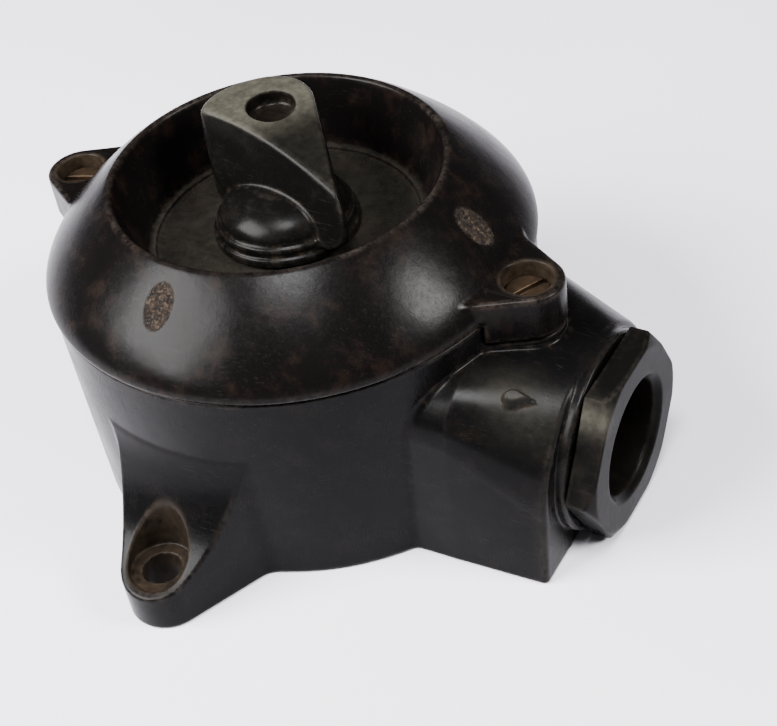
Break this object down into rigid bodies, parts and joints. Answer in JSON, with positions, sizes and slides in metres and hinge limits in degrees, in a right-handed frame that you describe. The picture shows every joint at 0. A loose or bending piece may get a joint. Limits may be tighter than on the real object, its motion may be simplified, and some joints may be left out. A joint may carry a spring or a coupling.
{
  "type": "rotary switch",
  "caption": "Surface-mounted turn switch: round moulded base with two fixing lugs and a cable gland, sloping cover with a deep well, and a teardrop pointer knob in the well.",
  "frame": {"origin": "centre of the flat back face that lies on the wall", "axes": "+Z away from the wall along the knob's axis, +X out through the cable gland"},
  "size_m": [0.1158, 0.116, 0.0609],
  "materials": {
    "bakelite": "worn gloss",
    "knob_bakelite": "worn and dusty",
    "porcelain": "glazed",
    "paper_laminate": "satin",
    "rubber": "matte",
    "brass": "dull",
    "copper": "dull",
    "steel": "satin"
  },
  "bodies": {
    "housing": {"base_housing": "bakelite", "cover": "bakelite", "cover_gasket": "rubber", "cover_bush": "brass", "cover_screw_1": "brass", "cover_screw_2": "brass", "cover_insert_1": "brass", "cover_insert_2": "brass", "gland_nut": "knob_bakelite", "gland_washer": "steel", "gland_grommet": "rubber", "knob_seal": "rubber", "contact_carrier": "porcelain", "top_plate": "paper_laminate", "spacer_sleeve_1": "brass", "spacer_sleeve_2": "brass", "frame_screw_1": "steel", "frame_screw_2": "steel", "fixed_contact_1": "brass", "fixed_contact_2": "brass", "fixed_contact_3": "brass", "fixed_contact_4": "brass", "terminal_screw_1": "brass", "terminal_screw_2": "brass", "terminal_screw_3": "brass", "terminal_screw_4": "brass", "detent_spring": "steel", "earth_post": "brass", "earth_screw": "brass"},
    "knob": {"knob": "knob_bakelite", "knob_socket": "brass", "spindle": "steel", "spindle_clip": "steel", "rotor_drum": "paper_laminate", "bridge_contact": "copper", "detent_wheel": "steel"}
  },
  "joints": [
    {"name": "knob_turn", "type": "hinge", "parent": "housing", "child": "knob", "pos_m": [0, 0, 0.043], "axis": [0, 0, 1], "range_deg": [-58, 32]}
  ]
}
